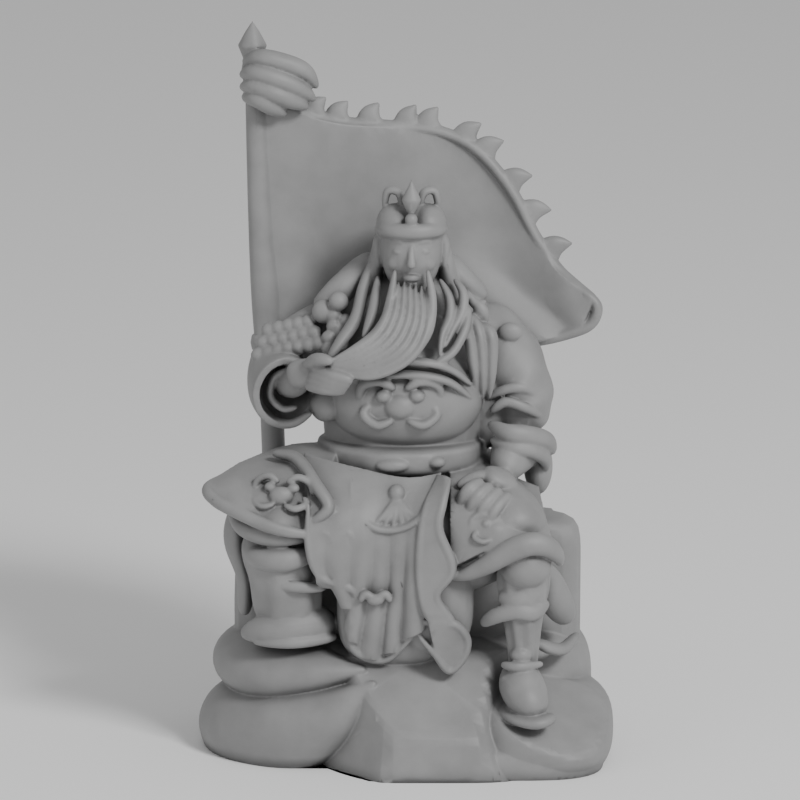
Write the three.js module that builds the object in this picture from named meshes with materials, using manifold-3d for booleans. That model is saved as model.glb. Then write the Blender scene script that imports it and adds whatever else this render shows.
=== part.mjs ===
// A seated warrior with a long beard, cast in one piece with the rock it sits on and the banner behind it.
// Sizes are in millimetres: X to the viewer's right, Y away from the viewer, Z up.
// The figure faces -Y, so its own right side lies at -X.
import * as THREE from "three";
import { mergeVertices } from "three/addons/utils/BufferGeometryUtils.js";
import Module from "manifold-3d";

const wasm = await Module();
wasm.setup();

// Overall sizes.
const HEIGHT = 300;
const ROCK_HALF_WIDTH = 86;
const ROCK_HALF_DEPTH = 58;
const FINISH_TRIANGLES = 9600;

// Rock and seat.
const PLATEAU_Z = 50;
const SEAT_TOP_Z = 98;
const SEAT_HALF_WIDTH = 72;
const SEAT_X = 1;

// Standard: the pole behind the right shoulder, its knot and its finial.
const POLE_FOOT = [-54, 24, 90];
const POLE_HEAD = [-61.5, 24, 280];
const FINIAL_BASE_Z = 281;
const FINIAL_X = -62.5;
const TOOTH_LENGTH = [8.5, 12];

// Body.
const BELT_Z = 127;
const HEAD = [2.5, -7, 212];
const HEAD_RADII = [12.3, 14.5, 19.5];
const BEARD_LOCKS = 6;
const FINGER_RADIUS = 2.6;
const SCALE_RADIUS = 3.2;
const SCALE_ROWS = 3;
const TASSEL_CORDS = 6;

// A smooth curve through a few points.
function curve(points) {
  const stations = points.map((point) => new THREE.Vector3(...point));
  return new THREE.CatmullRomCurve3(stations, false, "catmullrom", 0.5);
}

// A closed three.js geometry as a solid that can be joined and cut.
function solid(geometry) {
  const bare = new THREE.BufferGeometry();
  bare.setAttribute("position", geometry.getAttribute("position"));
  bare.setIndex(geometry.getIndex());
  const merged = mergeVertices(bare, 1e-4);
  const corners = new Uint32Array(merged.getIndex().array);
  const places = new Float32Array(merged.getAttribute("position").array);
  const build = () => new wasm.Manifold(new wasm.Mesh({ numProp: 3, vertProperties: places, triVerts: corners }));
  const made = build();
  if (made.volume() > 0) return made;
  for (let i = 0; i < corners.length; i += 3) {
    [corners[i], corners[i + 1]] = [corners[i + 1], corners[i]];
  }
  return build();
}

// A ball drawn out along a curve: arms, legs, fingers, locks, rolls of cloth. The girth lists half width and
// half depth at even stations, one pair for an even girth; folds swells or sinks the skin by angle and by
// distance along the path.
function limb(points, girth, options = {}) {
  const { sides = 12, rings = 10, front = [0, -1, 0], blunt = 3, folds = () => 0 } = options;
  const path = curve(points);
  const stations = girth.length > 1 ? girth : [girth[0], girth[0]];
  const widths = curve(stations.map(([width, depth]) => [width, depth, 0]));
  const hint = new THREE.Vector3(...front);
  const shape = new THREE.SphereGeometry(1, sides, rings);
  const at = shape.getAttribute("position");
  for (let i = 0; i < at.count; i++) {
    const along = (1 - at.getY(i)) / 2;
    const angle = Math.atan2(at.getZ(i), at.getX(i));
    const swell = Math.pow(Math.max(0, 1 - Math.pow(Math.abs(2 * along - 1), blunt)), 1 / blunt);
    const heading = path.getTangent(along);
    const side = heading.clone().cross(hint).normalize();
    const face = side.clone().cross(heading).normalize();
    const half = widths.getPoint(along);
    const skin = swell * (1 + folds(angle, along));
    const place = path.getPoint(along);
    place.addScaledVector(side, skin * half.x * Math.cos(angle));
    place.addScaledVector(face, skin * half.y * Math.sin(angle));
    at.setXYZ(i, place.x, place.y, place.z);
  }
  return solid(shape);
}

// A thick sheet spread over a few rails: across along each rail, down from rail to rail.
function sheet(rails, thickness, options = {}) {
  const { across = 10, down = 10, waves = () => 0 } = options;
  const curves = rails.map(curve);
  const surface = (u, v) => curve(curves.map((rail) => rail.getPoint(u).toArray())).getPoint(v);
  const shape = new THREE.BoxGeometry(1, 1, 1, across, down, 1);
  const at = shape.getAttribute("position");
  const step = 1e-3;
  for (let i = 0; i < at.count; i++) {
    const u = THREE.MathUtils.clamp(at.getX(i) + 0.5, step, 1 - step);
    const v = THREE.MathUtils.clamp(0.5 - at.getY(i), step, 1 - step);
    const right = surface(u + step, v).sub(surface(u - step, v));
    const below = surface(u, v + step).sub(surface(u, v - step));
    const normal = below.cross(right).normalize();
    const place = surface(u, v).addScaledVector(normal, waves(u, v) + at.getZ(i) * thickness);
    at.setXYZ(i, place.x, place.y, place.z);
  }
  return solid(shape);
}

// A rounded mass. A power of 2 gives an ellipsoid and a higher one a block with soft edges; each cut is a
// flat facet given by its azimuth, its elevation and its distance from the centre; worn makes it uneven.
function lump(centre, radii, options = {}) {
  const { power = 2, turn = [0, 0, 0], cuts = [], worn = () => 0, sides = 12, rings = 8 } = options;
  const shape = new THREE.SphereGeometry(1, sides, rings);
  shape.rotateX(Math.PI / 2);
  const at = shape.getAttribute("position");
  const planes = cuts.map(([azimuth, elevation, distance]) => {
    const [a, e] = [azimuth, elevation].map(THREE.MathUtils.degToRad);
    return [new THREE.Vector3(Math.sin(a) * Math.cos(e), -Math.cos(a) * Math.cos(e), Math.sin(e)), distance];
  });
  for (let i = 0; i < at.count; i++) {
    const way = new THREE.Vector3().fromBufferAttribute(at, i);
    const scaled = way.toArray().map((part, axis) => Math.pow(Math.abs(part) / radii[axis], power));
    let reach = Math.pow(scaled[0] + scaled[1] + scaled[2], -1 / power) * (1 + worn(way.x, way.y, way.z));
    for (const [normal, distance] of planes) {
      const facing = way.dot(normal);
      if (facing > 0) reach = Math.min(reach, distance / facing);
    }
    at.setXYZ(i, way.x * reach, way.y * reach, way.z * reach);
  }
  const [rx, ry, rz] = turn.map(THREE.MathUtils.degToRad);
  shape.rotateX(rx);
  shape.rotateY(ry);
  shape.rotateZ(rz);
  shape.translate(...centre);
  return solid(shape);
}

// A turned shape about an upright axis, from half widths at heights.
function turned(centre, profile, sides = 10) {
  const outline = profile.map(([radius, height]) => new THREE.Vector2(radius, height));
  const shape = new THREE.LatheGeometry(outline, sides);
  shape.rotateX(Math.PI / 2);
  shape.translate(...centre);
  return solid(shape);
}

function join(solids) {
  return wasm.Manifold.union(solids);
}

const mix = (a, b, share) => a + (b - a) * share;
const mixPoint = (a, b, share) => a.map((part, axis) => mix(part, b[axis], share));

// The rock: two folds of stone climb from the left corner and end in points at the middle, where the front
// facet begins; a boulder bulges over a hollow at the right. It is sunk below the base and cut flat later.
function rock() {
  const broad = { sides: 24, rings: 16 };
  const fold = { sides: 20, rings: 16, front: [0, 0, 1], blunt: 2.6 };
  const worn = (x, y, z) => 0.025 * Math.sin(5 * x + 2 * z) + 0.025 * Math.cos(4 * y - 5 * z);
  const stone = join([
    limb([[-16, -38, 42], [-36, -27, 39], [-54, -10, 37], [-57, 14, 36], [-50, 34, 34]],
      [[4, 4], [16, 10], [22, 15], [23, 16], [18, 14]], fold),
    limb([[-12, -42, 38], [-30, -34, 22], [-50, -18, 11], [-63, 4, 9], [-58, 34, 8]],
      [[3, 4], [14, 14], [22, 21], [25, 22], [19, 20]], fold),
    lump([10, -9, 12], [44, 49, 36], { ...broad, power: 5, cuts: [[4, 44, 39.5], [-46, 8, 46], [-3, 14, 49], [50, 24, 44]] }),
    lump([55, -17, 14], [31, 40.5, 20], { ...broad, power: 2.6, worn, cuts: [[30, 55, 19.5]] }),
    lump([46, -24, 4], [36, 31, 12], { ...broad, power: 3 }),
    lump([50, 12, 27], [28, 32, 25], { ...broad, power: 2.8, worn }),
    lump([0, 27, 17], [69, 31, 33], { ...broad, power: 4, worn }),
    lump([-2, 2, 24], [58, 36, 25], { ...broad, power: 4 }),
    lump([-30, -8, 8], [24, 24, 12], { power: 4 }),
  ]);
  return stone.subtract(lump([42, -62, 14], [12, 12, 9], { turn: [0, 35, 0] }));
}

// The squared block he sits on.
function seat() {
  const half = (SEAT_TOP_Z - PLATEAU_Z + 18) / 2;
  return lump([SEAT_X, 20, SEAT_TOP_Z - half], [SEAT_HALF_WIDTH, 28, half], {
    power: 9,
    sides: 40,
    rings: 24,
    cuts: [[-80, 12, 71], [150, 20, 36]],
  });
}

// The pole stands on the back corner of the seat; cloth is wound round its head under a faceted spear point.
function standard() {
  const parts = [
    limb([POLE_FOOT, [-55.5, 24, 140], [-57.5, 24, 181], [-59.7, 24, 215], POLE_HEAD],
      [[5, 5], [5, 5], [6, 5.5], [5, 5], [4.4, 4.4]], { blunt: 12 }),
    turned([-57, 24, 166], [[0, -3], [6.6, -3], [7.2, 0], [6.6, 3], [0, 3]], 12),
    turned([FINIAL_X, 24, FINIAL_BASE_Z], [[0, -4], [4.8, -2], [3.8, 3.5], [6, 9], [3, 14.5], [0, HEIGHT - FINIAL_BASE_Z]], 8),
    lump([-54, 22, 274], [12, 7, 9], { turn: [0, 20, 0] }),
  ];
  const wraps = [
    [[-66, 24, 283], [-59, 16, 286], [-50, 15, 284], [-41, 17, 280], [-36, 21, 273]],
    [[-67, 23, 278], [-61, 15, 280], [-52, 13, 277.5], [-43, 16, 273], [-37, 20, 268]],
    [[-67, 23, 273], [-61, 15, 274.5], [-53, 13, 271.5], [-45, 16, 268], [-40, 19, 265]],
    [[-66, 23, 269], [-60, 15, 269], [-54, 15, 266], [-49, 19, 262.5]],
  ];
  for (const wrap of wraps) parts.push(limb(wrap, [[3, 3.4], [3.8, 4.4], [4, 4.4], [2.6, 3.4]], { rings: 10, sides: 8 }));
  return join(parts);
}

const BANNER_TOP = [[-58, 24, 267], [-43, 26, 262], [-26, 29, 257.5], [-2, 33, 255], [16, 33, 252.5], [31, 31, 244.5],
  [44, 29, 229], [54, 28, 210], [63, 26, 197], [71, 22, 190], [78, 18, 185]];
const BANNER_MIDDLE = [[-58, 24, 216], [-20, 30, 210], [20, 31, 206], [50, 25, 188], [76, 19, 179]];
const BANNER_BOTTOM = [[-58, 24, 166], [-20, 24, 162], [25, 21, 160], [50, 20, 165], [65, 20, 169], [74, 19, 174]];
const TOOTH_PLACES = [0.13, 0.19, 0.27, 0.36, 0.41, 0.5, 0.555, 0.65, 0.735, 0.84];

// The flag: a billowing sheet with a rolled upper border and a row of flame-shaped teeth outside it.
function banner() {
  const billow = (u, v) => 2.4 * Math.sin(9 * u - 4 * v) * Math.min(1, 6 * u) * Math.min(1, 6 * (1 - u));
  const edge = curve(BANNER_TOP);
  const parts = [
    sheet([BANNER_TOP, BANNER_MIDDLE, BANNER_BOTTOM], 5, { across: 24, down: 12, waves: billow }),
    limb(BANNER_TOP, [[2.4, 3.4]], { rings: 24, sides: 8, blunt: 10 }),
    limb([[77, 18, 187], [79.5, 18, 181], [76, 19, 174], [65, 20, 169.5], [50, 20, 165.5]], [[2.4, 3]], { sides: 8 }),
  ];
  for (const share of TOOTH_PLACES) {
    const root = edge.getPointAt(share);
    const run = edge.getTangentAt(share);
    const out = new THREE.Vector3(-run.z, 0, run.x).normalize();
    const length = mix(...TOOTH_LENGTH, share);
    const stage = (outward, along) => root.clone().addScaledVector(out, outward).addScaledVector(run, along).toArray();
    parts.push(limb([stage(-2, -1), stage(length * 0.45, -1), stage(length, 2)],
      [[7, 3], [4.6, 2.4], [0.8, 0.8]], { sides: 8, rings: 6 }));
  }
  return join(parts);
}

// Chest, belly, hips and the broad belt.
function torso() {
  const studs = (angle) => 0.015 * Math.cos(10 * angle);
  return join([
    limb([[-1, 6, 100], [-1, 4, 125], [0, 4, 150], [1, 5, 170], [2, 5, 194]],
      [[35, 27], [33, 28], [34, 26], [33, 22], [15, 13]], { sides: 24, rings: 14 }),
    lump([0, -9, 150], [32, 22, 23], { sides: 18, rings: 12 }),
    limb([[-32, 8, 176], [-16, 7, 184], [2, 6, 189], [18, 7, 186], [32, 8, 180]],
      [[12, 12], [13, 13], [12, 13], [13, 13], [12, 12]], { sides: 12, rings: 12, front: [0, 0, 1] }),
    lump([0, 4, 110], [44, 30, 19], { sides: 18, rings: 10, power: 2.6 }),
    limb([[-1, 2, 120], [-1, 2, BELT_Z], [-1, 2, 132]], [[34.5, 34]], { sides: 28, rings: 6, blunt: 6, folds: studs }),
    lump([-5, -31, 126], [7, 3.5, 3], { sides: 10, rings: 6 }),
    lump([13, -30, 127], [3.4, 3, 2.4], { sides: 8, rings: 6 }),
  ]);
}

// Crossed robe fronts, the chest band over the belly and the scarf folds beside the beard.
function collar() {
  const parts = [];
  for (const drop of [0, 5.5]) {
    parts.push(limb([[-24, -20, 164 - drop], [-10, -28, 168 - drop], [4, -31, 169 - drop], [17, -29, 166 - drop], [27, -20, 157 - drop]],
      [[1.8, 2.6]], { rings: 10, sides: 8 }));
  }
  parts.push(limb([[26, -16, 188], [24, -22, 180], [19, -27, 172], [12, -31, 168]], [[2, 3]], { sides: 8, rings: 8 }));
  for (const shift of [0, 4.5, 9]) {
    parts.push(limb([[22 + shift, -13, 190 - shift], [26 + shift, -18, 177], [28 + shift * 0.8, -18, 163], [29 + shift * 0.6, -14, 150]],
      [[2, 3], [2.6, 4], [2.2, 3], [1.2, 2]], { rings: 8, sides: 8 }));
  }
  return join(parts);
}

// The beast mask: brows, eyes, nose and curling jaws.
function beastMask(centre, size, turn = [0, 0, 0]) {
  const euler = new THREE.Euler(...turn.map(THREE.MathUtils.degToRad));
  const at = (...offset) => new THREE.Vector3(...offset).multiplyScalar(size).applyEuler(euler).add(new THREE.Vector3(...centre)).toArray();
  const small = { sides: 8, rings: 6 };
  const parts = [lump(at(0, 0, 0), [5 * size, 3.4 * size, 4 * size], small)];
  for (const side of [-1, 1]) {
    parts.push(lump(at(5 * side, -1, 3.4), [2.4 * size, 2.4 * size, 2 * size], small));
    parts.push(limb([at(1.5 * side, -1, 5.5), at(6 * side, -1.4, 8), at(11 * side, 0.5, 6.5), at(12.5 * side, 2, 2)],
      [[1.6 * size, 1.8 * size]], small));
    parts.push(limb([at(2 * side, -1, -4), at(7 * side, -1, -5.5), at(11 * side, 0.5, -2.5), at(9 * side, 1, 0.5)],
      [[1.5 * size, 1.8 * size]], small));
  }
  return join(parts);
}

// Right thigh and shin under armour skirt, boot and shoe; the shoe points to the viewer's left.
function rightLeg() {
  const gathers = (angle, along) => 0.05 * Math.cos(7 * angle + 6 * along);
  const level = { front: [0, 0, 1], sides: 8 };
  return join([
    limb([[-16, 6, 109], [-38, -10, 109], [-58, -29, 106], [-66, -34, 102]], [[17, 16], [19, 16], [17, 14], [12, 10]],
      { sides: 16, rings: 10, front: [0, 0, 1] }),
    limb([[-56, -30, 102], [-51, -31, 86], [-48, -27, 68], [-47, -25, 56]], [[16, 13], [14.5, 12], [14, 12], [12, 12]],
      { sides: 16, rings: 12, folds: gathers }),
    limb([[-71, -28, 106], [-64, -39, 102], [-53, -43, 99.5], [-38, -42, 98.5]], [[3, 4], [4.5, 4.5], [4.5, 4.5], [3, 3]], level),
    limb([[-65, -28, 92], [-59, -39, 90], [-49, -43, 89.5], [-35, -40, 91.5]], [[4, 4.6], [4.6, 5], [4.6, 5], [3, 4]], level),
    limb([[-62, -26, 81], [-56, -37, 80], [-45, -41, 78], [-32, -40, 77]], [[2.4, 2.6]], level),
    limb([[-29, -22, 57], [-41, -28, 59.5], [-54, -30, 58], [-67, -28, 54.5]], [[8, 7.5], [10, 8.5], [9.5, 7.5], [4.5, 4.5]],
      { front: [0, 0, 1], sides: 14, rings: 12 }),
    limb([[-28, -30, 54], [-45, -37, 53.5], [-62, -33, 53]], [[3, 2.6]], level),
    limb([[-68, -16, 107], [-69, -16, 92], [-65.5, -16, 76], [-66, -18, 60]], [[5, 11], [5.5, 11], [4, 9], [4, 7]]),
  ]);
}

const RIGHT_SKIRT = [
  [[-26, 8, 125], [-48, 2, 125], [-68, -10, 120]],
  [[-28, -22, 125], [-52, -24, 121], [-79, -32, 117]],
  [[-39, -46, 101], [-56, -46, 105.5], [-75, -39, 112]],
];

// The armour skirt over the right thigh: a curved sheet with a rolled rim and a mask at the knee.
function rightSkirt() {
  return join([
    sheet(RIGHT_SKIRT, 5, { across: 10, down: 12, waves: (u, v) => 1.4 * v * Math.sin(14 * u) }),
    limb([[-67, -10, 119], [-79.5, -31, 117], [-77, -38, 113.5], [-69, -43, 110], [-57, -48, 105.5], [-48, -49, 103], [-38, -48, 101]],
      [[2.6, 2.8]], { sides: 8, rings: 14, front: [0, 0, 1] }),
    beastMask([-50, -41, 115.5], 1.0, [-35, 0, -15]),
  ]);
}

// Left thigh, knee guard, trouser ruffle, boot and shoe; the shoe points to the viewer.
function leftLeg() {
  const gathers = (angle, along) => 0.06 * Math.cos(8 * angle - 5 * along);
  const level = { front: [0, 0, 1], sides: 8 };
  const parts = [
    limb([[18, 6, 108], [31, -16, 107], [43, -36, 102], [49, -45, 95]], [[17, 16], [17, 16], [15, 15], [11, 11]],
      { sides: 16, rings: 10, front: [0, 0, 1] }),
    lump([48.5, -46, 88], [10.5, 10, 9.5]),
    limb([[48, -40, 94], [48, -41, 80], [48, -40, 64], [48, -38, 50], [48, -36, 38]],
      [[12, 11], [11, 10], [8, 8], [6.6, 7], [7, 7]], { sides: 16, rings: 12, folds: gathers }),
    limb([[31, -40, 62], [37, -46, 67], [45, -49, 69.5], [52, -48, 68.5], [58, -43, 72]], [[2.4, 3.4]], level),
    limb([[38, -44, 74], [46, -49, 75], [56, -45, 78]], [[2.4, 4]], level),
    limb([[47, -28, 35], [47, -40, 37], [50, -48, 33], [55, -54, 28.5]], [[8, 8], [9, 10], [9, 8], [7, 5.5]],
      { front: [0, 0, 1], sides: 14, rings: 12 }),
    limb([[40, -34, 27], [45, -47, 25.5], [53, -53, 24.5], [61, -51, 26]], [[4, 3], [6, 3], [6, 3], [4, 3]], level),
    lump([47, -44, 50], [4.4, 3.6, 3.4], { sides: 8, rings: 6 }),
  ];
  for (const rise of [0, 6]) {
    parts.push(limb([[39, -44, 40 + rise], [46, -48, 40 + rise], [56, -43, 40 + rise]], [[1.6, 2]], { sides: 6, rings: 8, front: [0, 0, 1] }));
  }
  return join(parts);
}

// The armour skirt over the left thigh, rolled outwards above the knee, and the cloth hanging beside the boot.
function leftSkirt() {
  return join([
    sheet([[[18, -20, 120], [34, -16, 119], [54, -8, 110]], [[18, -40, 113], [36, -40, 112], [56, -32, 104]],
      [[19, -47, 87], [42, -53, 98], [60, -45, 92]]], 5, { across: 10, down: 10 }),
    limb([[17, -46, 83], [25, -50, 85.5], [33, -53, 90], [41, -55, 95.5], [49, -55.5, 99], [56, -53, 98], [61, -48, 93], [63, -42, 87]],
      [[2.6, 2.6], [3.6, 3.6], [4.6, 4.6], [4.8, 4.8], [4.2, 4.2], [2.4, 2.4]], { front: [0, 0, 1], rings: 16 }),
    beastMask([37, -49, 103], 0.85, [-30, 0, 5]),
    limb([[55, -30, 84], [60, -28, 72], [67, -22, 58]], [[6, 7], [7, 6], [6, 4]], { sides: 8 }),
    limb([[53, -34, 53], [59, -31, 49.5], [65, -26, 48], [71, -18, 52]], [[2.6, 3.6]], { sides: 8 }),
  ]);
}

const ROBE_TOP = [[-41, -18, 127], [-20, -29, 124], [0, -33, 121], [15, -31, 122]];
const ROBE_LAP = [[-39, -44, 108], [-20, -45, 106], [-6, -43, 103], [8, -45, 108]];
const ROBE_FALL = [[-38, -45, 88], [-20, -44, 84], [-6, -42, 82], [6, -47, 84]];
const ROBE_HEM = [[-31, -42, 80], [-22, -41, 68], [-21, -38, 52], [-11, -37, 47], [-2, -40, 53], [8, -46, 62]];
const BORDER_OUTER = [[14, -34, 122], [9, -46, 113], [6.5, -49, 103], [5.5, -49, 88], [6.5, -49, 76], [9, -49, 66], [12, -45, 52], [17, -41, 43]];
const BORDER_INNER = [[18, -40, 123], [15, -49, 114], [13.5, -51, 104], [19, -50.5, 88], [12.5, -49, 76], [20, -48, 65], [25, -43, 56], [22, -41, 45]];

// The long robe front falling between the knees, with pleats that fan towards a wavy hem.
function robeFront() {
  const pleats = (u, v) => 1.6 * v * v * Math.sin(34 * u + 2 * v);
  const lean = { sides: 8, rings: 16 };
  const parts = [
    sheet([ROBE_TOP, ROBE_LAP, ROBE_FALL, ROBE_HEM], 5, { across: 24, down: 14, waves: pleats }),
    sheet([BORDER_OUTER, BORDER_INNER], 3.6, { across: 20, down: 3 }),
    lump([-4, -26, 66], [24, 15, 24], { power: 3 }),
    lump([12, -30, 72], [16, 16, 24], { power: 3 }),
    lump([4, -24, 92], [40, 19, 20], { power: 3 }),
    limb([...BORDER_INNER].slice(0, 6), [[2, 2.4]], lean),
    limb([...BORDER_OUTER].slice(0, 6), [[1.8, 2.4]], lean),
    limb([[8, -47, 65], [13, -47, 63], [20, -48, 64], [25, -44, 57], [24, -42, 49], [18, -42, 43], [12, -45, 51], [5, -45, 59]],
      [[1.8, 2.2]], { sides: 8, rings: 18 }),
    limb([[-39, -47, 114], [-39, -48, 96], [-34, -45, 83], [-20, -44, 76], [-23, -40, 62], [-20, -38, 50], [-8, -38, 46.5], [4, -45, 59]],
      [[1.8, 2.4]], { sides: 8, rings: 20 }),
    limb([[-54, -17, 128], [-44, -25, 127.5], [-36, -40, 120], [-31, -46, 112], [-38, -47, 106]], [[2.6, 3]], { sides: 8 }),
    limb([[-22, -33, 122], [-21, -42, 112], [-13, -46, 104], [-3, -46, 103], [6, -47, 108], [12, -42, 118]], [[1.6, 2.2]],
      { sides: 6, rings: 14 }),
    lump([-3.5, -39, 116], [3.4, 3.4, 4], { sides: 8, rings: 6 }),
  ];
  for (let i = 0; i < TASSEL_CORDS; i++) {
    const share = i / (TASSEL_CORDS - 1);
    parts.push(limb([[-3.5, -39, 115], [mix(-7, 1, share), -43.5, 110], [mix(-12, 6, share), -45.5, 105 - 4 * share * (1 - share)]],
      [[1.4, 1.6]], { sides: 6, rings: 5 }));
  }
  for (const [x, z, size] of [[-28, 99, 1], [-12, 74, 0.8]]) {
    const y = -47;
    parts.push(lump([x, y, z], [4.5 * size, 2.4, 3 * size], { sides: 8, rings: 6 }));
    for (const side of [-1, 1]) {
      parts.push(limb([[x, y, z], [x + side * 5 * size, y, z + 3 * size], [x + side * 8 * size, y, z - 1 * size]], [[1.6, 2]], { sides: 6, rings: 6 }));
    }
  }
  return join(parts);
}

// Right arm raised to the beard: a guard of round scales over the upper arm and a wide hanging sleeve.
function rightArm() {
  const hollow = limb([[-49, -3, 154], [-47, -12, 153], [-44, -26, 152]], [[8, 9], [10, 11], [11, 12]], { front: [0, 0, 1], blunt: 8 });
  const bell = limb([[-50, 6, 168], [-52, 2, 159], [-51, -6, 154], [-48.5, -14, 152.5]], [[8, 8], [11, 12], [11.5, 13], [12, 13.5]],
    { front: [0, 0, 1], sides: 16, rings: 12, blunt: 7 });
  const parts = [
    bell.subtract(hollow),
    limb([[-24, 9, 179], [-36, 7, 173], [-48, 5, 167.5], [-61, 2, 165.5]], [[12, 13], [13, 12], [11, 10.5], [5, 4]],
      { sides: 14, front: [0, 0, 1] }),
    limb([[-50, 0, 156], [-46, -12, 157], [-41, -22, 162]], [[7, 7], [6.5, 7], [5, 6]], { front: [0, 0, 1] }),
    limb([[-44, -17, 166.5], [-55, -11, 164], [-61, -5, 156], [-60, -4, 146], [-54, -9, 140], [-46, -15, 140], [-38, -18, 145]],
      [[2.2, 3]], { sides: 8, rings: 16 }),
    limb([[-46, -17, 163], [-53, -13, 159], [-55, -12, 151], [-50, -14, 146], [-44, -17, 147]], [[1.6, 2.2]], { sides: 6, rings: 12 }),
    lump([-32, -12, 147], [7, 8, 7]),
  ];
  for (let row = 0; row < SCALE_ROWS; row++) {
    const count = 7 - row;
    for (let i = 0; i < count; i++) {
      const [x, y, z] = mixPoint([-60, -4, 166], [-33, -12, 170], (i + row * 0.5) / 6.5);
      parts.push(lump([x, y + row * 2.2, z + row * 4.6 + i * 0.5], [SCALE_RADIUS, 3.4, SCALE_RADIUS], { sides: 8, rings: 6 }));
    }
  }
  for (let i = 0; i < 7; i++) {
    parts.push(lump([-31 + 5 * (i % 2) + (i > 3 ? 2 : 0), -15 + i * 0.6, 171 + i * 2.2], [3.2, 3, 3], { sides: 8, rings: 6 }));
  }
  return join(parts);
}

// A hand: a palm, four fingers drawn side by side from the knuckle line to the tip line, and a thumb.
function hand(palm, palmRadii, palmTurn, knuckles, tips, bow, thumb) {
  const parts = [lump(palm, palmRadii, { power: 2.6, turn: palmTurn })];
  for (let i = 0; i < 4; i++) {
    const share = i / 3;
    const from = mixPoint(knuckles[0], knuckles[1], share);
    const to = mixPoint(tips[0], tips[1], share);
    const middle = mixPoint(from, to, 0.5).map((part, axis) => part + bow[axis]);
    const girth = FINGER_RADIUS * (1 - 0.12 * Math.abs(share - 0.4));
    parts.push(limb([from, middle, to], [[girth, girth]], { sides: 8, rings: 7, blunt: 4 }));
  }
  parts.push(limb(thumb, [[2.8, 2.8], [2.8, 2.8], [2.2, 2.2]], { sides: 8, rings: 7 }));
  return join(parts);
}

function rightHand() {
  return hand([-41, -26, 163], [7, 5, 6], [0, -10, -25], [[-37, -32, 167], [-40, -30, 159]],
    [[-21, -41, 163], [-24, -38, 158.5]], [0, -3, 0], [[-40, -29, 167], [-35, -37, 171], [-29, -41, 171]]);
}

function leftHand() {
  return hand([38, -31, 119], [8, 7, 5], [20, 25, 20], [[31, -38, 121], [42, -40, 116]],
    [[22, -42, 113], [33, -46, 103.5]], [-1, -4, 2], [[36, -30, 122], [28, -35, 121.5], [21, -39, 119]]);
}

// Left arm: upper arm, turned back cuffs in layers, forearm and wrist.
function leftArm() {
  const folds = (angle, along) => 0.035 * Math.sin(3 * angle + 26 * along);
  const level = { front: [0, 0, 1], sides: 8 };
  return join([
    limb([[26, 9, 181], [37, 8, 172], [45, 6, 158], [47.5, 4, 144], [47.5, 0, 132]], [[12, 14], [13, 14], [13.5, 15], [14, 15], [12, 13]],
      { sides: 16, rings: 14, folds }),
    limb([[49, 4, 130], [45, -8, 127], [42, -18, 124], [40, -26, 120]], [[12, 12], [10, 10], [7.5, 8], [6, 6]], { front: [0, 0, 1] }),
    limb([[34, -12, 139], [42, -20, 137], [51, -18, 135.5], [58, -10, 131.5], [61, 0, 125]], [[2.4, 3.4], [3, 4], [3.4, 4], [3.4, 4], [3, 4]], level),
    limb([[35, -14, 133], [43, -20, 131], [51, -18, 129.5], [57, -10, 124.5], [58, -2, 117.5]], [[2.4, 3], [3, 3.4], [3, 3.4], [3, 3.4], [2.4, 3]], level),
    limb([[33, -8, 149], [41, -10, 153], [48, -9.5, 153.5], [53, -6, 150.5], [57, 0, 144.5]], [[1.8, 2.2]], level),
    limb([[35, -10, 143.5], [41, -11.5, 148], [49, -11, 145.5], [56, -4, 140.5]], [[1.8, 2.2]], level),
    lump([43, -5, 176], [5, 3, 4], { sides: 8, rings: 6 }),
    lump([55, 4, 118], [6, 10, 12]),
    lump([34, 2, 144], [9, 10, 18]),
    limb([[36, -20, 124], [42, -24, 118], [47, -20, 114]], [[1.6, 2]], { sides: 6, rings: 8 }),
  ]);
}

// Head with calm, even features; the neck is hidden by the beard and the scarf.
function head() {
  const [x, y, z] = HEAD;
  const small = { sides: 8, rings: 6 };
  const parts = [
    lump(HEAD, HEAD_RADII, { sides: 18, rings: 14, power: 2.2 }),
    lump([x, y - 4, z - 11], [9, 9.5, 8.5]),
    limb([[x, y + 12, z - 30], [x, y + 8, z - 18], [x, y + 4, z - 8]], [[12, 12], [10, 10], [9, 9]]),
    limb([[x, y - 13, z + 4], [x, y - 15.4, z - 2.5], [x, y - 16.6, z - 6.5]], [[1.3, 1.4], [1.5, 1.8], [2.2, 2]], small),
    limb([[x - 3.6, y - 13, z - 11], [x, y - 14.6, z - 10.6], [x + 3.6, y - 13, z - 11]], [[1, 1.4]], { ...small, front: [0, 0, 1] }),
  ];
  for (const side of [-1, 1]) {
    parts.push(lump([x + side * 5, y - 12.2, z], [2.6, 1.8, 1.3], small));
    parts.push(limb([[x + side * 1.8, y - 13.6, z + 3.4], [x + side * 5.4, y - 13.2, z + 4.6], [x + side * 9, y - 10.2, z + 3.6]],
      [[0.9, 1.2]], { ...small, front: [0, 0, 1] }));
    parts.push(lump([x + side * 6.2, y - 8.6, z - 5.4], [3.8, 4, 4], small));
    parts.push(limb([[x + side * 12.2, y + 3, z + 5], [x + side * 13.6, y + 3, z], [x + side * 13, y + 1, z - 9]],
      [[1.8, 3.4], [2.2, 4], [1.8, 2.4]], { sides: 8, rings: 8 }));
  }
  return join(parts);
}

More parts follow.
